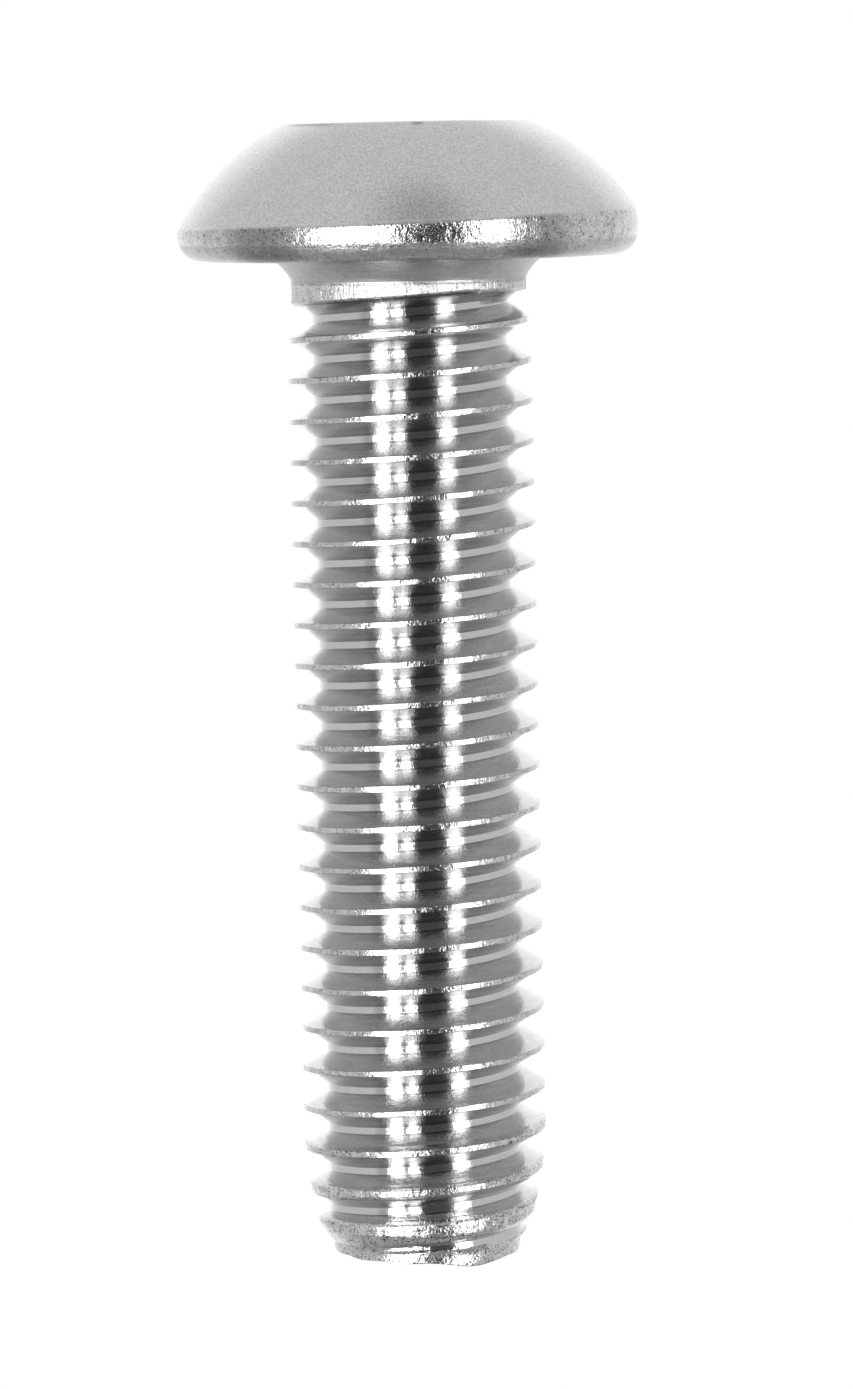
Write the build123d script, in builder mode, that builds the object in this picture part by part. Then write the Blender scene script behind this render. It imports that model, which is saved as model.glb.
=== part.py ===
from build123d import *
import os
from math import atan2, cos, degrees, hypot, pi, radians, sin, tan

# Button head screw, M5 x 0.8 x 20: a low domed head with a 3 mm hexagon socket on a fully threaded shank.
# Millimetres. The origin is the centre of the bearing face under the head, +Z runs along the shank to the
# tip, and the head lies below the origin. It is one solid, cold headed and thread rolled from one wire.

# Head
HEAD_DIAMETER = 9.18
HEAD_HEIGHT = 2.65
CROWN_DIAMETER = 5.0  # the flat on top of the dome
RIM_BAND = 0.79  # height of the rim, from the bearing face to the dome
RIM_ROUNDING = 0.39  # how far the rounded corner runs in from the rim to the bearing face
RIM_ROUNDING_HEIGHT = 0.43

# Hexagon socket
SOCKET_ACROSS_FLATS = 3.02
SOCKET_DEPTH = 1.65
SOCKET_CONE_ANGLE = 30.0  # slope of the conical floor
SOCKET_CHAMFER = 0.12  # width of the countersink beyond the corners

# Shank and thread
SHANK_LENGTH = 20.0
THREAD_DIAMETER = 4.87  # over the crests, as rolled
THREAD_PITCH = 0.8
THREAD_DEPTH = 0.424
THREAD_ANGLE = 60.0
CREST_START = 0.1  # height of the crest helix where it crosses +X
STEPS_PER_TURN = 4  # faces that one turn of a flank is made of

# Plain neck between the head and the thread
NECK_DROP = 0.11  # how far the neck lies inside the crests
NECK_LENGTH = 0.75
NECK_FLARE = 0.4  # how far the slope under the head spreads beyond the neck
NECK_FLARE_HEIGHT = 0.43
RUNOUT_LENGTH = 0.65  # length over which the groove comes up to full depth

# Tip: the crests taper off, and the end is chamfered
TIP_TAPER_LENGTH = 2.0
TIP_TAPER_DROP = 0.28
TIP_CHAMFER_LENGTH = 0.7
TIP_CHAMFER_DROP = 0.55
DISH_DIAMETER = 2.4  # hollow that the rolling leaves in the end
DISH_DEPTH = 0.14

EPS = 0.05  # how far a cutting tool passes a surface

crest_radius = THREAD_DIAMETER / 2
neck_radius = crest_radius - NECK_DROP
flank_slope = tan(radians(THREAD_ANGLE / 2))
root_radius = crest_radius - THREAD_DEPTH
root_flat = THREAD_PITCH - 2 * THREAD_DEPTH * flank_slope

# The rod starts at a root inside the head and runs past the tip
rod_foot = CREST_START - 1.5 * THREAD_PITCH
rod_turns = int(SHANK_LENGTH / THREAD_PITCH) + 4
shank_foot = -THREAD_PITCH / 2


def helix_step(radius, height, step):
    """One step of a right-hand helix that starts on +X, as an arc through three of its points."""
    turns = [(step + share) / STEPS_PER_TURN for share in (0, 0.5, 1)]
    points = [(radius * cos(2 * pi * t), radius * sin(2 * pi * t), height + THREAD_PITCH * t) for t in turns]
    return Edge.make_three_point_arc(*points)


# Threaded rod: the root and the two flanks that meet at the crest, as ruled faces between steps of the helix.
# Each end is closed by the spiral face from the last turn to the axis and by the profile of one pitch.
profile = [
    (root_radius, -root_flat / 2),
    (root_radius, root_flat / 2),
    (crest_radius, THREAD_PITCH / 2),
    (root_radius, THREAD_PITCH - root_flat / 2),
]
rod_faces = []
for step in range(rod_turns * STEPS_PER_TURN):
    edges = [helix_step(radius, rod_foot + height, step) for radius, height in profile]
    rod_faces += [Face.make_surface_from_curves(lower, upper) for lower, upper in zip(edges, edges[1:])]
for end_turn in (0, rod_turns):
    for step in range(end_turn * STEPS_PER_TURN, (end_turn + 1) * STEPS_PER_TURN):
        border = helix_step(root_radius, rod_foot - root_flat / 2, step)
        axis = Edge.make_line((0, 0, (border @ 0).Z), (0, 0, (border @ 1).Z))
        rod_faces.append(Face.make_surface_from_curves(border, axis))
    foot = rod_foot + end_turn * THREAD_PITCH
    outline = [(0, 0, foot - root_flat / 2)]
    outline += [(radius, 0, foot + height) for radius, height in profile]
    outline += [(0, 0, foot + THREAD_PITCH - root_flat / 2)]
    rod_faces.append(Face(Wire.make_polygon(outline, close=True)))
threaded_rod = Solid(Shell(rod_faces))


# Tool: the outline of the shank, with the taper and the chamfer of the tip
chamfer_radius = crest_radius - TIP_TAPER_DROP
taper = TIP_TAPER_DROP / (TIP_TAPER_LENGTH - TIP_CHAMFER_LENGTH)
with BuildPart() as shank_outline:
    with BuildSketch(Plane.XZ):
        with BuildLine():
            Polyline(
                (0, shank_foot),
                (crest_radius + EPS, shank_foot),
                (crest_radius + EPS, SHANK_LENGTH - TIP_TAPER_LENGTH - EPS / taper),
                (chamfer_radius, SHANK_LENGTH - TIP_CHAMFER_LENGTH),
                (chamfer_radius - TIP_CHAMFER_DROP, SHANK_LENGTH),
                (0, SHANK_LENGTH),
                close=True,
            )
        make_face()
    revolve(axis=Axis.Z)


# Tool: the ring that comes off the rod to leave the plain neck and the slope up to the first crest
runout_end = NECK_LENGTH + RUNOUT_LENGTH
relief_slope = 2 * NECK_DROP / RUNOUT_LENGTH
with BuildPart() as neck_relief:
    with BuildSketch(Plane.XZ):
        with BuildLine():
            Polyline(
                (neck_radius - EPS, shank_foot - EPS),
                (neck_radius - EPS, NECK_LENGTH - EPS / relief_slope),
                (neck_radius + 2 * NECK_DROP, runout_end),
                (neck_radius + 3 * NECK_DROP, runout_end),
                (neck_radius + 3 * NECK_DROP, shank_foot - EPS),
                close=True,
            )
        make_face()
    revolve(axis=Axis.Z)


# Tool: the hexagon socket with its countersunk mouth and conical floor
crown = -HEAD_HEIGHT
mouth_radius = SOCKET_ACROSS_FLATS / 3**0.5 + SOCKET_CHAMFER
socket_floor = crown + SOCKET_DEPTH
cone_radius = SOCKET_ACROSS_FLATS / 2 - EPS
cone_depth = cone_radius * tan(radians(SOCKET_CONE_ANGLE))
with BuildPart() as socket:
    with BuildSketch(Plane.XY.offset(crown - EPS)):
        RegularPolygon(SOCKET_ACROSS_FLATS / 2, 6, major_radius=False)
    extrude(amount=SOCKET_DEPTH + EPS)
    with BuildSketch(Plane.XZ):
        with BuildLine():
            Polyline(
                (0, socket_floor - EPS),
                (cone_radius, socket_floor - EPS),
                (cone_radius, socket_floor),
                (0, socket_floor + cone_depth),
                close=True,
            )
        make_face()
    revolve(axis=Axis.Z)
    with BuildSketch(Plane.XZ):
        with BuildLine():
            Polyline((0, crown), (mouth_radius, crown), (0, crown + mouth_radius * flank_slope), close=True)
        make_face()
    revolve(axis=Axis.Z)


# The dome is part of a sphere. Its centre is on the axis, as far from the edge of the crown as from the rim.
head_radius = HEAD_DIAMETER / 2
crown_radius = CROWN_DIAMETER / 2
dome_centre = (crown_radius**2 + crown**2 - head_radius**2 - RIM_BAND**2) / 2 / (crown + RIM_BAND)
dome_radius = hypot(crown_radius, crown - dome_centre)
dome_start = degrees(atan2(crown - dome_centre, crown_radius))
dome_end = degrees(atan2(-RIM_BAND - dome_centre, head_radius))
rounding_middle = 1 - cos(radians(45))  # the rounded corner of the rim is two facets that meet at its middle
dish_radius = ((DISH_DIAMETER / 2) ** 2 + DISH_DEPTH**2) / (2 * DISH_DEPTH)
with BuildPart() as screw:
    # threaded shank
    add(threaded_rod)
    add(shank_outline.part, mode=Mode.INTERSECT)
    add(neck_relief.part, mode=Mode.SUBTRACT)

    # head, neck and the run-out of the groove
    with BuildSketch(Plane.XZ):
        with BuildLine():
            dome = CenterArc((0, dome_centre), dome_radius, dome_start, dome_end - dome_start)
            Polyline(
                dome @ 1,
                (head_radius, -RIM_ROUNDING_HEIGHT),
                (head_radius - rounding_middle * RIM_ROUNDING, -rounding_middle * RIM_ROUNDING_HEIGHT),
                (head_radius - RIM_ROUNDING, 0),
                (neck_radius + NECK_FLARE, 0),
                (neck_radius, NECK_FLARE_HEIGHT),
                (neck_radius, NECK_LENGTH),
                (root_radius - EPS, runout_end),
                (0, runout_end),
                (0, crown),
                dome @ 0,
            )
        make_face()
    revolve(axis=Axis.Z)

    add(socket.part, mode=Mode.SUBTRACT)

    # dish in the end of the shank
    with Locations((0, 0, SHANK_LENGTH - DISH_DEPTH + dish_radius)):
        Sphere(dish_radius, mode=Mode.SUBTRACT)

screw.part.label = "screw"

os.makedirs("parts", exist_ok=True)
export_step(screw.part, "parts/screw.step")
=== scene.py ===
"""Button head screw, M5 x 0.8 x 20, standing on its head.

The screw is one closed skin of steel: hexagon socket, domed head, neck, rolled thread and rolled tip. Each
row of its vertices goes once round the axis, and the rows of the thread climb by one pitch on the way.
"""

import math

import bpy
import numpy as np
from mathutils import Matrix, Vector


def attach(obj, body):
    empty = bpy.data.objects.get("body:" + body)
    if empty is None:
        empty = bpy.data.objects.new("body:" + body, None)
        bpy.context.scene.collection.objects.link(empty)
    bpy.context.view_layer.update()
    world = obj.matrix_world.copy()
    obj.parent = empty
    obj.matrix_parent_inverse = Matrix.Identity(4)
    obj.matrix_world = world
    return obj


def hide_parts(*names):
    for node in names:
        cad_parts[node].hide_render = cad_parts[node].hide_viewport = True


MM = 0.001
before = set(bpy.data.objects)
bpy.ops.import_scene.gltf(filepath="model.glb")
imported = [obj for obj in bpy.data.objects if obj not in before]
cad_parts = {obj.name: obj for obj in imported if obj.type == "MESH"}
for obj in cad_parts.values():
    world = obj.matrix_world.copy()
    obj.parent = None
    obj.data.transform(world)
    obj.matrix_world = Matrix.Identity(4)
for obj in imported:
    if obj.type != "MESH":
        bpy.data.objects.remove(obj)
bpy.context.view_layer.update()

# Sizes in millimetres. The origin is the centre of the bearing face, and +Z runs to the tip.

# Head
HEAD_HEIGHT = 2.65
CROWN_RADIUS = 2.5
DOME_BULGE = 0.2
RIM_RADIUS = 4.53
RIM_BAND = 0.79
RIM_BULGE = 0.055
RIM_TILT = 0.13  # how much higher the edge between dome and rim lies on one side, and lower on the other
RIM_WAVE = 0.004
BEARING_RADIUS = 4.19
BEARING_CORNER = 0.3
BEARING_CORNER_BULGE = 0.06
DOME_ROWS = 18
RIM_ROWS = 8
CORNER_ROWS = 6
# Rings this close to an edge keep it crisp
EDGE_STEP = 0.05
MOUTH_STEP = 0.03
RIM_STEP = 0.01
FLARE_STEP = 0.04

# Hexagon socket
SOCKET_ACROSS_FLATS = 3.02
SOCKET_DEPTH = 1.65
SOCKET_CHAMFER = 0.12
SOCKET_MOUTH_ANGLE = 30.0
SOCKET_CONE_ANGLE = 30.0
# Rings of the conical floor as shares of its radius, and of the wall as shares of its height
CONE_SHARES = (0.1, 0.3, 0.5, 0.7, 0.9, 1.0)
WALL_SHARES = (0.0, 0.03, 0.5, 0.97, 1.0)

# Neck
NECK_RADIUS = 2.325
NECK_LENGTH = 0.75
NECK_TOP = 0.5  # where the rings of the head end and the rows of the thread begin
NECK_FLARE = 0.4
NECK_FLARE_HEIGHT = 0.43
NECK_FLARE_HOLLOW = 0.04
NECK_FINISH_END = 1.1
NECK_FINISH_DEPTH = 0.01
FLARE_ROWS = 6

# Thread
SHANK_LENGTH = 20.0
CREST_RADIUS = 2.435
ROOT_RADIUS = 1.944
PITCH = 0.806  # as rolled
FLANK_SLOPE = math.tan(math.radians(30.0))
ROOT_FLAT = 0.134
CREST_START = 0.02  # height of the crest helix where it crosses +X
CREST_RISE = 0.07  # how much the slope behind the neck rises per millimetre, up to the full crest
RUNOUT_START = 0.68
RUNOUT_LENGTH = 0.2
# Rows of half a thread, as distances along Z from the middle of the groove. The pairs at the corners of
# root and crest are their bevels, and the finish changes within such a pair.
HALF_THREAD = (0.0, 0.061, 0.073, 0.16, 0.26, 0.344, 0.356)
ROOT_EDGE = 0.065
CREST_EDGE = 0.35
# The crests are torn: how far they are worn inward and shifted along the shank, and where that begins
CREST_WEAR = 0.006
CREST_SHIFT = 0.007
WEAR_START = 1.0
WEAR_FADE = 0.5

# Rolled tip: heights and radii of its outline, the level, lobe and tilt of its ragged edge, and its dish
TIP_HEIGHTS = (17.2, 17.8, 18.3, 18.6, 19.0, 19.3, 19.5, 19.65, 19.9, 20.0)
TIP_RADII = (2.45, 2.39, 2.35, 2.3, 2.2, 2.15, 2.02, 1.89, 1.86, 1.83)
TIP_LEVEL = 19.87
TIP_LOBE = 0.09
TIP_LOBE_ANGLE = math.radians(240)
TIP_LOBE_REACH = 0.35  # in radians
TIP_TILT = 0.04
TIP_RAGGEDNESS = 0.012
TIP_CLEARANCE = 0.005
TIP_FINISH_DEPTH = 0.02
# Rings of the lip inside the ragged edge, as distances inward and down
TIP_LIP = ((0.02, -0.004), (0.07, 0.0), (0.2, 0.02))
DISH_RADIUS = 1.2
DISH_DEPTH = 0.14
DISH_DROP = 0.03
DISH_SHARES = (1.0, 0.8, 0.6, 0.4, 0.2)  # rings of the dish as shares of its radius

COLUMNS = 240
WELD_REACH = 0.004  # what comes this close to a border of the helical sheet is welded onto it

# Finishes. Each is a tuple in this order.
FINISH = ("roughness", "reflectance", "grain", "pits", "lines", "scratches")
FORGED = (0.16, 0.49, 2.0, 0.0, 0.0, 0.0)
RIM = (0.13, 0.5, 1.2, 1.1, 0.0, 0.7)
CORNER = (0.28, 0.4, 1.6, 0.8, 0.2, 0.3)
DULL = (0.36, 0.36, 1.8, 0.4, 0.8, 0.1)
NECK = (0.4, 0.55, 1.2, 0.9, 0.3, 3.0)
ROOT = (0.05, 0.46, 0.6, 0.05, 0.5, 0.0)
FLANK = (0.07, 0.5, 1.2, 0.05, 0.8, 0.0)
CREST = (0.1, 0.48, 2.0, 1.0, 0.2, 0.4)
END = (0.17, 0.47, 1.4, 1.4, 0.0, 0.3)
SOCKET = (0.25, 0.5, 0.6, 0.2, 0.0, 0.8)
# Darker places, as (degrees from +X, reach in degrees, share of the reflectance lost). On the rim and its
# corner they are painted dark reflections.
RIM_PAINTED_DARK_REFLECTIONS = ((309.0, 11.0, 0.5), (236.0, 9.0, 0.45))
CROWN_EDGE_MARKS = ((317.0, 15.0, 0.6), (264.5, 2.5, 0.7))

rng = np.random.default_rng(11)
angle = math.pi / 2 + 2 * math.pi * np.arange(COLUMNS) / COLUMNS


def arc(start, end, bulge, count):
    """Points (radius, height) on a circular arc from start to end, which stands out by bulge on its right.

    With c as half the chord, its circle has the radius (c * c + bulge * bulge) / (2 * bulge).
    """
    start, end = np.array(start, float), np.array(end, float)
    half = (end - start) / 2
    length = np.hypot(*half)
    along = half / length
    right = np.array([along[1], -along[0]])
    radius = (length**2 + bulge**2) / (2 * bulge)
    angles = np.linspace(-1, 1, count) * math.asin(length / radius)
    centre = (start + end) / 2 + right * (bulge - radius)
    return centre + radius * (np.sin(angles)[:, None] * along + np.cos(angles)[:, None] * right)


def rough_line(count, reach):
    """Random values of about -1 to 1 along a line, as noise blurred by a bell curve of reach places."""
    values = rng.normal(0, 1, count + 6 * reach)
    bell = np.exp(-0.5 * (np.arange(-3 * reach, 3 * reach + 1) / reach) ** 2)
    return np.convolve(values, bell / np.sqrt(np.sum(bell**2)), "valid")[:count]


def rough_ring(reach):
    """A rough line once round the axis. It comes down to nothing at the seam, where its two ends meet."""
    return rough_line(COLUMNS, reach) * np.hanning(COLUMNS + 2)[1:-1] ** 0.1


def rough_helix(pitches, share, fine_reach, coarse_reach):
    """A rough line of fine and coarse noise along the whole helix, as one row for each pitch."""
    count = pitches * COLUMNS
    line = share * rough_line(count, fine_reach) + share * rough_line(count, coarse_reach)
    return line.reshape(pitches, COLUMNS)


def darkened_at(finish, places):
    """A finish for each column, whose reflectance is lower at the given places round the axis."""
    finish = np.tile(finish, (COLUMNS, 1))
    reflectance = FINISH.index("reflectance")
    for middle, reach, loss in places:
        away = (np.degrees(angle) % 360 - middle) / reach
        finish[:, reflectance] *= 1 - loss * np.exp(-(away**4))
    return finish


def tip_outline(height):
    """Radius that the rolled tip leaves at a height. Below the first of its heights it cuts nothing."""
    return np.interp(height, TIP_HEIGHTS, TIP_RADII, left=np.inf)


def thread_radius(height, from_groove):
    """Radius of the shank at a height, at a distance along Z from the middle of the groove.

    Root, 60 degree flank and crest are one clipped ramp. The slope behind the neck and the outline of the
    tip cut it, and the run-out of the groove fills it.
    """
    ramp = ROOT_RADIUS + (np.abs(from_groove) - ROOT_FLAT / 2) / FLANK_SLOPE
    radius = np.clip(ramp, ROOT_RADIUS, CREST_RADIUS)
    radius = np.minimum(radius, NECK_RADIUS + CREST_RISE * np.maximum(height - NECK_LENGTH, 0))
    past_start = np.maximum(height - RUNOUT_START, 0) / RUNOUT_LENGTH
    radius = np.maximum(radius, NECK_RADIUS - past_start * (NECK_RADIUS - ROOT_RADIUS))
    return np.minimum(radius, tip_outline(height))


class Skin:
    """The vertices of one closed surface round the axis, with their finish, and the quads between them."""

    def __init__(self):
        self.points = []
        self.finish = []
        self.quads = []
        self.count = 0

    def add(self, radius, level, finish):
        """Adds rows of vertices with their finish, and returns their indices."""
        radius, level = np.broadcast_arrays(radius + 0 * angle, level + 0 * angle)
        points = np.stack([radius * np.cos(angle), radius * np.sin(angle), level], axis=-1)
        self.points.append(points.reshape(-1, 3))
        shape = points.shape[:-1] + (len(FINISH),)
        self.finish.append(np.broadcast_to(finish, shape).reshape(-1, len(FINISH)))
        first = self.count
        self.count += radius.size
        return np.arange(first, self.count).reshape(radius.shape)

    def pole(self, level, finish):
        """Adds one vertex on the axis, which stands for a whole row."""
        self.points.append(np.array([[0.0, 0.0, level]]))
        self.finish.append(np.array([finish], float))
        self.count += 1
        return np.full(COLUMNS, self.count - 1)

    def band(self, lower, upper):
        """Quads between two rows, facing outward where the rows go up the shank."""
        self.quads.append(np.stack([lower, np.roll(lower, -1), np.roll(upper, -1), upper], axis=1))


skin = Skin()

# Socket, from the bottom of its conical floor to its mouth. The radius of the hexagon is that of its flat
# divided by the cosine of the angle from the middle of the flat.
crown = -HEAD_HEIGHT
flat = SOCKET_ACROSS_FLATS / 2
hexagon = flat / np.cos((angle % (math.pi / 3)) - math.pi / 6)
mouth = SOCKET_ACROSS_FLATS / math.sqrt(3) + SOCKET_CHAMFER
socket_floor = crown + SOCKET_DEPTH
cone_radius = flat - EDGE_STEP
cone_depth = cone_radius * math.tan(math.radians(SOCKET_CONE_ANGLE))
wall_top = crown + (mouth - hexagon) * math.tan(math.radians(SOCKET_MOUTH_ANGLE))
rings = [(cone_radius * share, socket_floor + cone_depth * (1 - share)) for share in CONE_SHARES]
rings += [(hexagon, socket_floor + (wall_top - socket_floor) * share) for share in WALL_SHARES]
rings += [(mouth, crown)]
last = skin.pole(socket_floor + cone_depth, SOCKET)
for radius, level in rings:
    now = skin.add(radius, level, SOCKET)
    skin.band(last, now)
    last = now

# Head, from the crown to the neck. Each ring is (radius, level, finish, share of the rim's tilt).
dome = arc((CROWN_RADIUS, crown), (RIM_RADIUS, -RIM_BAND), DOME_BULGE, DOME_ROWS)
rim = arc((RIM_RADIUS, -RIM_BAND), (RIM_RADIUS, -BEARING_CORNER), RIM_BULGE, RIM_ROWS)
corner = arc(rim[-1], (BEARING_RADIUS, 0), BEARING_CORNER_BULGE, CORNER_ROWS)
flare_radius = NECK_RADIUS + NECK_FLARE
flare = arc((flare_radius, 0), (NECK_RADIUS, NECK_FLARE_HEIGHT), -NECK_FLARE_HOLLOW, FLARE_ROWS)
bearing_face = np.linspace(BEARING_RADIUS - EDGE_STEP, flare_radius + FLARE_STEP, 3)
dome_height = HEAD_HEIGHT - RIM_BAND
rim_height = RIM_BAND - BEARING_CORNER
rings = [(r, crown, FORGED, 0.0) for r in (mouth + MOUTH_STEP, CROWN_RADIUS - EDGE_STEP)]
rings += [(r, level, FORGED, (level - crown) / dome_height) for r, level in dome[:-1]]
rings += [(dome[-1][0], dome[-1][1] - RIM_STEP, FORGED, 1.0)]
rings += [(r, level, RIM, -(BEARING_CORNER + level) / rim_height) for r, level in rim[1:-1]]
rings += [(r, level, CORNER, 0.0) for r, level in corner]
rings += [(r, 0.0, DULL, 0.0) for r in bearing_face]
rings += [(r, level, DULL, 0.0) for r, level in flare]
for radius, level, finish, share in rings:
    if finish is RIM:
        radius = radius - abs(RIM_WAVE * rough_ring(reach=3))
    # painted dark reflections: the rim and its corner are darker in bands where the rim should reflect a
    # darker room
    if finish in (RIM, CORNER):
        finish = darkened_at(finish, RIM_PAINTED_DARK_REFLECTIONS)
    elif level == dome[0][1]:
        finish = darkened_at(finish, CROWN_EDGE_MARKS)
    now = skin.add(radius, level + share * RIM_TILT * np.cos(angle), finish)
    skin.band(last, now)
    last = now
neck_ring = skin.add(NECK_RADIUS, NECK_TOP, NECK)
skin.band(last, neck_ring)

# Ragged edge of the tip, highest at its lobe
from_lobe = (angle - TIP_LOBE_ANGLE + math.pi) % (2 * math.pi) - math.pi
end_level = TIP_LEVEL + TIP_LOBE * np.exp(-((from_lobe / TIP_LOBE_REACH) ** 2)) - TIP_TILT * np.cos(angle)
end_level = np.minimum(end_level + TIP_RAGGEDNESS * rough_ring(reach=3), SHANK_LENGTH - TIP_CLEARANCE)
end_radius = np.interp(end_level, TIP_HEIGHTS, TIP_RADII)
end_ring = skin.add(end_radius, end_level, END)

# Helical sheet over neck, thread and tip. A row starts on +Y and climbs by one pitch round the axis, so its
# last column meets the first column of the row one pitch above. On +Y a crest lies a quarter pitch above
# CREST_START and a groove half a pitch above that. The sheet starts three pitches lower, inside the head,
# and ends past the tip.
steps = np.array([*HALF_THREAD, PITCH / 2, *(PITCH - d for d in HALF_THREAD[:0:-1])])
rows_per_pitch = len(steps)
foot = CREST_START + PITCH / 2 + PITCH / 4 - 3 * PITCH
pitches = int((SHANK_LENGTH - foot) / PITCH) + 3
start_height = (foot + PITCH * np.arange(pitches)[:, None] + steps).ravel()
height = start_height[:, None] + PITCH * (angle - angle[0]) / (2 * math.pi)
step_from_groove = np.where(steps > PITCH / 2, steps - PITCH, steps)
from_groove = np.broadcast_to(np.tile(step_from_groove, pitches)[:, None], height.shape)
wear = np.zeros_like(height)
shift = np.zeros_like(height)
for row in np.flatnonzero(np.abs(step_from_groove) > CREST_EDGE):
    wear[row::rows_per_pitch] = np.abs(rough_helix(pitches, share=0.6, fine_reach=1, coarse_reach=4))
    shift[row::rows_per_pitch] = rough_helix(pitches, share=0.5, fine_reach=2, coarse_reach=9)
worn = np.clip((height - WEAR_START) / WEAR_FADE, 0, 1)
radius = thread_radius(height, from_groove) - wear * CREST_WEAR * worn
height = height + shift * CREST_SHIFT * worn

# Finish of the sheet. What comes later goes over what comes before.
finish = np.where((np.abs(from_groove) > CREST_EDGE)[..., None], CREST, FLANK)
finish = np.where((np.abs(from_groove) < ROOT_EDGE)[..., None], ROOT, finish)
rolled_tip = radius >= tip_outline(height) - TIP_FINISH_DEPTH
finish = np.where(rolled_tip[..., None], END, finish)
on_neck = (height < NECK_FINISH_END) & (radius > NECK_RADIUS - NECK_FINISH_DEPTH)
finish = np.where(on_neck[..., None], NECK, finish)

# The sheet ends at the neck's ring and at the tip's edge. What lies past them is gathered onto them.
sheet = skin.add(radius, height, finish)
sheet = np.where(height <= NECK_TOP + WELD_REACH, neck_ring, sheet)
sheet = np.where(height >= end_level - WELD_REACH, end_ring, sheet)
above = np.vstack([sheet, np.repeat(end_ring[None, :], rows_per_pitch, axis=0)])
right = np.roll(sheet, -1, axis=1)
right[:, -1] = above[rows_per_pitch:, 0]
skin.quads.append(np.stack([sheet[:-1], right[:-1], right[1:], sheet[1:]], axis=2).reshape(-1, 4))

# Lip inside the ragged edge, and the dish. The dish is part of a sphere: with r as its radius and d as its
# depth, the sphere has the radius (r * r + d * d) / (2 * d).
last = end_ring
for inward, drop in TIP_LIP:
    now = skin.add(end_radius - inward, end_level - drop, END)
    skin.band(last, now)
    last = now
dish_sphere = (DISH_RADIUS**2 + DISH_DEPTH**2) / (2 * DISH_DEPTH)
dish_bottom = TIP_LEVEL - DISH_DROP - DISH_DEPTH
for share in DISH_SHARES:
    reach = DISH_RADIUS * share
    now = skin.add(reach, dish_bottom + dish_sphere - math.sqrt(dish_sphere**2 - reach**2), END)
    skin.band(last, now)
    last = now
skin.band(last, skin.pole(dish_bottom, END))


def set_normals(mesh):
    """Sets each vertex's normal to the mean of its faces' normals, weighted by the cube of their areas.

    So a narrow bevel takes its normals from the wide faces beside it, and those stay flat up to the edge.
    """
    corners = np.empty(len(mesh.loops), np.int32)
    mesh.loops.foreach_get("vertex_index", corners)
    sides = np.empty(len(mesh.polygons), np.int32)
    mesh.polygons.foreach_get("loop_total", sides)
    area = np.empty(len(mesh.polygons))
    mesh.polygons.foreach_get("area", area)
    facing = np.empty(3 * len(mesh.polygons))
    mesh.polygons.foreach_get("normal", facing)
    weighted = facing.reshape(-1, 3) * (area[:, None] / area.mean()) ** 3
    face = np.repeat(np.arange(len(sides)), sides)
    normals = np.zeros((len(mesh.vertices), 3))
    np.add.at(normals, corners, weighted[face])
    normals /= np.maximum(np.linalg.norm(normals, axis=1), np.finfo(float).tiny)[:, None]
    mesh.normals_split_custom_set_from_vertices(normals.tolist())


def make_mesh(name, skin):
    """A mesh from a skin. A quad with one repeated corner becomes a triangle, with more it is left out."""
    points = np.vstack(skin.points)
    quads = np.vstack(skin.quads)
    finish = np.vstack(skin.finish)
    same = np.stack([quads[:, k] == quads[:, (k + 1) % 4] for k in range(4)], axis=1)
    repeats = same.sum(axis=1)
    plain = quads[repeats == 0]
    folded = quads[repeats == 1]
    order = (np.argmax(same[repeats == 1], axis=1)[:, None] + 1 + np.arange(3)) % 4
    triangles = np.take_along_axis(folded, order, axis=1)
    used = np.zeros(len(points), bool)
    used[plain.ravel()] = True
    used[triangles.ravel()] = True
    renumber = np.cumsum(used) - 1
    mesh = bpy.data.meshes.new(name)
    faces = renumber[plain].tolist() + renumber[triangles].tolist()
    mesh.from_pydata((points[used] * MM).tolist(), [], faces)
    mesh.polygons.foreach_set("use_smooth", np.ones(len(mesh.polygons), bool))
    for index, label in enumerate(FINISH):
        layer = mesh.attributes.new(label, "FLOAT", "POINT")
        layer.data.foreach_set("value", finish[used, index].astype(np.float32))
    mesh.update()
    set_normals(mesh)
    return mesh


def attribute(tree, name):
    """The value of one of the finish attributes."""
    made = tree.nodes.new("ShaderNodeAttribute")
    made.attribute_name = name
    return made.outputs["Fac"]


def math_node(tree, operation, *values):
    """A math node whose values are numbers or sockets."""
    made = tree.nodes.new("ShaderNodeMath")
    made.operation = operation
    for index, value in enumerate(values):
        if isinstance(value, (int, float)):
            made.inputs[index].default_value = value
        else:
            tree.links.new(value, made.inputs[index])
    return made.outputs[0]


def fade(tree, value, low, high, start, end):
    """A smooth step from start to end as a value goes from low to high."""
    made = tree.nodes.new("ShaderNodeMapRange")
    made.interpolation_type = "SMOOTHSTEP"
    for name, number in (("From Min", low), ("From Max", high), ("To Min", start), ("To Max", end)):
        made.inputs[name].default_value = number
    tree.links.new(value, made.inputs["Value"])
    return made.outputs["Result"]


def noise(tree, place, scale, detail, roughness, stretch=(1.0, 1.0, 1.0)):
    """Noise of so many bumps per metre. Where stretch is below 1, the bumps are as much longer."""
    if stretch != (1.0, 1.0, 1.0):
        mapping = tree.nodes.new("ShaderNodeMapping")
        mapping.inputs["Scale"].default_value = stretch
        tree.links.new(place, mapping.inputs["Vector"])
        place = mapping.outputs[0]
    made = tree.nodes.new("ShaderNodeTexNoise")
    for name, number in (("Scale", scale), ("Detail", detail), ("Roughness", roughness)):
        made.inputs[name].default_value = number
    tree.links.new(place, made.inputs["Vector"])
    return made.outputs["Fac"]


# Relief of the steel in metres. At a finish value of 1, the pits have all of it and the rest have a share.
RELIEF = 0.00002
GRAIN_RELIEF = 0.15
LINE_RELIEF = 0.12
SCRATCH_RELIEF = 0.6
# How far each mark darkens and lightens the metal
GRAIN_TONE = 0.5
PIT_TONE = 0.9
LINE_TONE = 4.0
NOISE_MEAN = 0.5
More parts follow.
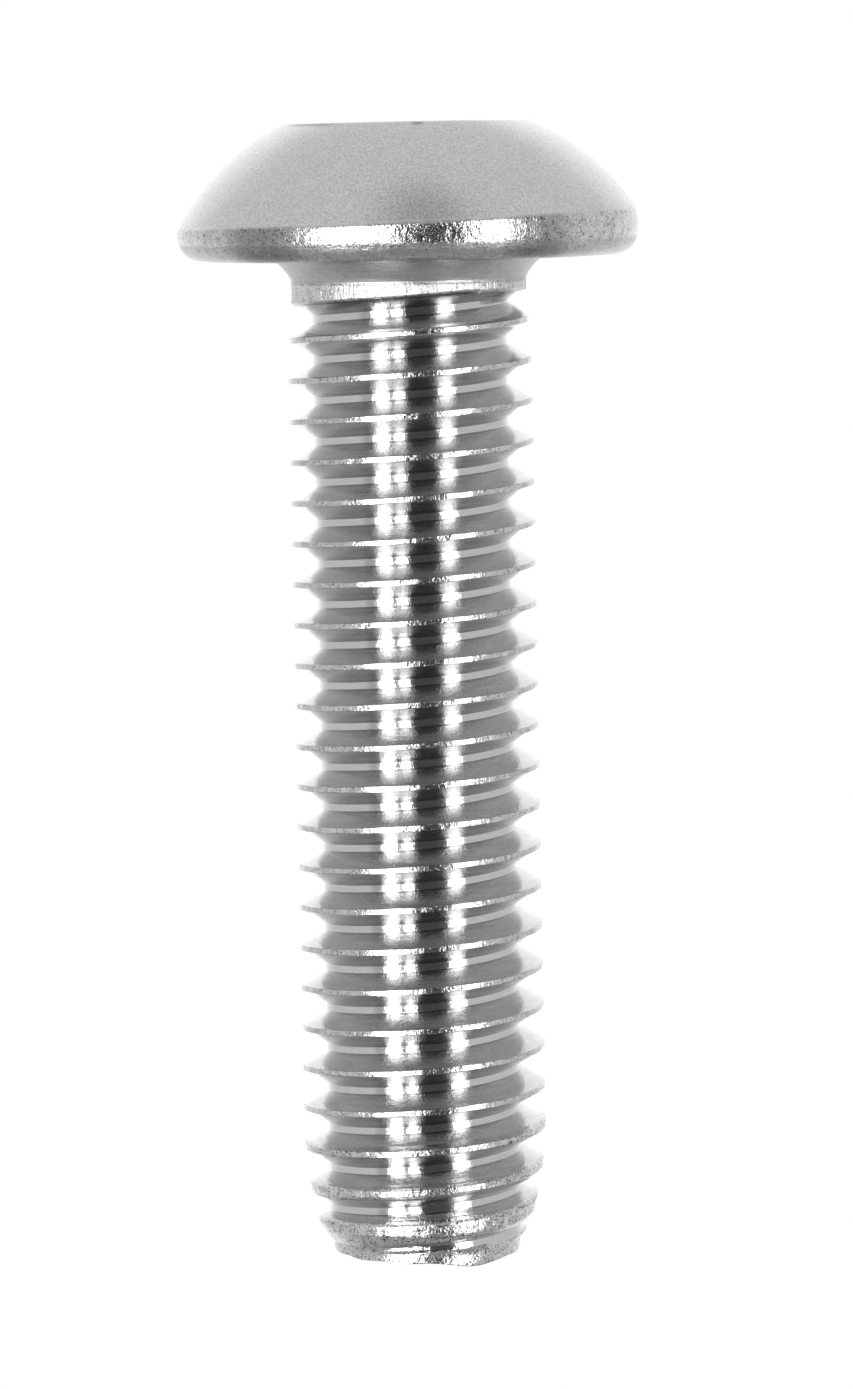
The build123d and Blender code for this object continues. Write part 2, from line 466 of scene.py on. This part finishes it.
# The pits turn to black specks where the noise of the sand rises through this range
SPECK_RANGE = (0.54, 0.65)
SPECK_DEPTH = 0.8
DARKEST = 0.03
LINE_ROUGHNESS = 0.06


def steel():
    """Stainless steel: sandy grain, pits, rolling lines round the axis and scratches along it."""
    material = bpy.data.materials.new("stainless_steel")
    material.use_nodes = True
    tree = material.node_tree
    shader = tree.nodes["Principled BSDF"]
    shader.inputs["Metallic"].default_value = 1.0

    place = tree.nodes.new("ShaderNodeTexCoord").outputs["Object"]
    sand = noise(tree, place, scale=22000.0, detail=2.0, roughness=0.6)
    mottle = noise(tree, place, scale=5000.0, detail=4.0, roughness=0.6)
    streaks = noise(tree, place, scale=16000.0, detail=2.0, roughness=0.7, stretch=(0.06, 0.06, 1.0))
    scores = noise(tree, place, scale=9000.0, detail=3.0, roughness=0.7, stretch=(1.0, 1.0, 0.08))
    grain = attribute(tree, "grain")
    pits = attribute(tree, "pits")
    lines = math_node(tree, "MULTIPLY", attribute(tree, "lines"), LINE_RELIEF)
    scratches = math_node(tree, "MULTIPLY", attribute(tree, "scratches"), SCRATCH_RELIEF)

    height = math_node(tree, "MULTIPLY", sand, math_node(tree, "MULTIPLY", grain, GRAIN_RELIEF))
    height = math_node(tree, "MULTIPLY_ADD", mottle, pits, height)
    height = math_node(tree, "MULTIPLY_ADD", streaks, lines, height)
    height = math_node(tree, "MULTIPLY_ADD", scores, scratches, height)
    bump = tree.nodes.new("ShaderNodeBump")
    bump.inputs["Strength"].default_value = 1.0
    bump.inputs["Distance"].default_value = RELIEF
    tree.links.new(height, bump.inputs["Height"])
    tree.links.new(bump.outputs[0], shader.inputs["Normal"])

    rough = math_node(tree, "MULTIPLY_ADD", streaks, LINE_ROUGHNESS, attribute(tree, "roughness"))
    tree.links.new(rough, shader.inputs["Roughness"])

    # the grain, the pits and the lines shade the metal, and the pits have black specks
    grains = math_node(tree, "MULTIPLY", math_node(tree, "SUBTRACT", sand, NOISE_MEAN), grain)
    blotches = math_node(tree, "MULTIPLY", math_node(tree, "SUBTRACT", mottle, NOISE_MEAN), pits)
    stripes = math_node(tree, "MULTIPLY", math_node(tree, "SUBTRACT", streaks, NOISE_MEAN), lines)
    specks = math_node(tree, "MULTIPLY", fade(tree, sand, *SPECK_RANGE, 0.0, SPECK_DEPTH), pits)
    shade = math_node(tree, "MULTIPLY_ADD", grains, GRAIN_TONE, 1.0)
    shade = math_node(tree, "MULTIPLY_ADD", blotches, PIT_TONE, shade)
    shade = math_node(tree, "MULTIPLY_ADD", stripes, LINE_TONE, shade)
    shade = math_node(tree, "SUBTRACT", shade, specks)
    shade = math_node(tree, "MULTIPLY", shade, attribute(tree, "reflectance"))
    shade = math_node(tree, "MAXIMUM", shade, DARKEST)
    colour = tree.nodes.new("ShaderNodeCombineColor")
    for channel in range(3):
        tree.links.new(shade, colour.inputs[channel])
    tree.links.new(colour.outputs[0], shader.inputs["Base Color"])
    return material


screw = bpy.data.objects.new("screw_steel", make_mesh("screw_steel", skin))
bpy.context.scene.collection.objects.link(screw)
screw.data.materials.append(steel())
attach(screw, "root")
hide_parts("screw")


# Floor, clear from below, where the camera may look past its edge. The polished steel doesn't reflect it.
FLOOR_HALF = 400.0
FLOOR_COLOUR = (0.9, 0.9, 0.9, 1)
floor_mesh = bpy.data.meshes.new("floor")
signs = ((-1, -1), (1, -1), (1, 1), (-1, 1))
plate = [(x * FLOOR_HALF * MM, y * FLOOR_HALF * MM, -HEAD_HEIGHT * MM) for x, y in signs]
floor_mesh.from_pydata(plate, [], [(0, 1, 2, 3)])
floor = bpy.data.objects.new("floor", floor_mesh)
bpy.context.scene.collection.objects.link(floor)
floor.visible_glossy = False
paper = bpy.data.materials.new("pale_floor")
paper.use_nodes = True
tree = paper.node_tree
diffuse = tree.nodes["Principled BSDF"]
diffuse.inputs["Base Color"].default_value = FLOOR_COLOUR
diffuse.inputs["Roughness"].default_value = 1.0
clear = tree.nodes.new("ShaderNodeBsdfTransparent")
side = tree.nodes.new("ShaderNodeNewGeometry")
mix = tree.nodes.new("ShaderNodeMixShader")
tree.links.new(side.outputs["Backfacing"], mix.inputs[0])
tree.links.new(diffuse.outputs[0], mix.inputs[1])
tree.links.new(clear.outputs[0], mix.inputs[2])
tree.links.new(mix.outputs[0], tree.nodes["Material Output"].inputs["Surface"])
floor.data.materials.append(paper)


# Studio light: a white room with a dark front and tall strips of light, as (angle, brightness). The angles
# are degrees from the front, and they grow to the right of the camera.
STUDIO = (
    (-180, 1.5), (-150, 1.3), (-130, 1.0), (-62, 1.0), (-58, 0.75), (-45, 0.7), (-42, 11.0), (-29, 12.0),
    (-25.5, 0.4), (-20.5, 0.4), (-18, 12.0), (-11, 12.0), (-7, 0.4), (-3, 0.18), (20, 0.18), (28, 0.3),
    (33, 0.6), (37, 10.0), (49, 10.0), (54, 0.9), (62, 1.0), (130, 1.0), (150, 1.3), (180, 1.5),
)
BRIGHTEST = 12.0
WHITE = (1, 1, 1, 1)
# Angles in degrees. Above and below the strips the room is plain, and dimmer on the side of +Z.
STRIP_ENDS = (32.0, 42.0)
BRIGHT_SIDE = 1.0
DIM_SIDE = 0.6
DIMMING = (30.0, 60.0)
# A soft grey patch over the dark front
PATCH_MIDDLE = 10.0
PATCH_SIDES = (15.0, 50.0)
PATCH_TOP = (-88.0, -70.0)
PATCH_DEPTH = 0.4


def ramp_round(tree, turn):
    """The brightness of the room at an angle from the front, from -180 to 180 degrees."""
    ramp = tree.nodes.new("ShaderNodeValToRGB")
    tree.links.new(math_node(tree, "MULTIPLY_ADD", turn, 1 / (2 * math.pi), 0.5), ramp.inputs[0])
    elements = ramp.color_ramp.elements
    while len(elements) > 1:
        elements.remove(elements[-1])
    for index, (degrees, brightness) in enumerate(STUDIO):
        position = 0.5 + degrees / 360
        element = elements[0] if index == 0 else elements.new(position)
        element.position = position
        level = brightness / BRIGHTEST
        element.color = (level, level, level, 1)
    return math_node(tree, "MULTIPLY", ramp.outputs[0], BRIGHTEST)


def room_brightness(tree):
    """How bright the room is in a direction: strips, plain light above and below them, and the patch."""
    split = tree.nodes.new("ShaderNodeSeparateXYZ")
    tree.links.new(tree.nodes.new("ShaderNodeTexCoord").outputs["Generated"], split.inputs[0])
    front = math_node(tree, "MULTIPLY", split.outputs["Y"], -1.0)
    # the camera hangs upside down, so its right is -X
    side = math_node(tree, "MULTIPLY", split.outputs["X"], -1.0)
    turn = math_node(tree, "ARCTAN2", side, front)
    rise = math_node(tree, "ARCSINE", split.outputs["Z"])
    steep = math_node(tree, "ABSOLUTE", rise)

    plain = fade(tree, rise, *np.radians(DIMMING), BRIGHT_SIDE, DIM_SIDE)
    in_strips = fade(tree, steep, *np.radians(STRIP_ENDS), 1.0, 0.0)
    above_plain = math_node(tree, "SUBTRACT", ramp_round(tree, turn), plain)
    level = math_node(tree, "MULTIPLY_ADD", above_plain, in_strips, plain)

    off_patch = math_node(tree, "ABSOLUTE", math_node(tree, "SUBTRACT", turn, math.radians(PATCH_MIDDLE)))
    across = fade(tree, off_patch, *np.radians(PATCH_SIDES), 1.0, 0.0)
    upward = fade(tree, rise, *np.radians(PATCH_TOP), 0.0, 1.0)
    patch = math_node(tree, "MULTIPLY", across, upward)
    return math_node(tree, "MULTIPLY", level, math_node(tree, "MULTIPLY_ADD", patch, -PATCH_DEPTH, 1.0))


# The steel reflects the room. The backdrop, and the light on the floor, are plain white.
world = bpy.data.worlds.new("studio")
bpy.context.scene.world = world
world.use_nodes = True
tree = world.node_tree
tree.nodes.clear()
room = tree.nodes.new("ShaderNodeBackground")
room.inputs["Color"].default_value = WHITE
tree.links.new(room_brightness(tree), room.inputs["Strength"])
white = tree.nodes.new("ShaderNodeBackground")
white.inputs["Color"].default_value = WHITE
path = tree.nodes.new("ShaderNodeLightPath")
choose = tree.nodes.new("ShaderNodeMixShader")
tree.links.new(path.outputs["Is Glossy Ray"], choose.inputs[0])
tree.links.new(white.outputs[0], choose.inputs[1])
tree.links.new(room.outputs[0], choose.inputs[2])
out = tree.nodes.new("ShaderNodeOutputWorld")
tree.links.new(choose.outputs[0], out.inputs["Surface"])


# Camera, hung upside down so that the head comes out on top. FOCAL is in pixels of the long side.
LONG_SIDE = 1389
FOCAL = 5900.0
SENSOR = 36.0
LOOK = Vector((-0.195, 0.0, 8.72))
EYE = Vector((-0.195, -117.0, -3.06))
DOWN = Vector((0, 0, -1))
ROLL = math.radians(1.1)
camera_data = bpy.data.cameras.new("camera")
camera_data.sensor_width = SENSOR
camera_data.lens = SENSOR * FOCAL / LONG_SIDE
camera_data.clip_start = 0.001
camera = bpy.data.objects.new("camera", camera_data)
bpy.context.scene.collection.objects.link(camera)
forward = (LOOK - EYE).normalized()
level_up = (DOWN - forward * forward.dot(DOWN)).normalized()
level_right = forward.cross(level_up)
up = level_up * math.cos(ROLL) + level_right * math.sin(ROLL)
turned = Matrix((forward.cross(up), up, -forward)).transposed().to_4x4()
camera.matrix_world = Matrix.Translation(EYE * MM) @ turned
bpy.context.scene.camera = camera
bpy.context.scene.view_settings.view_transform = "Standard"
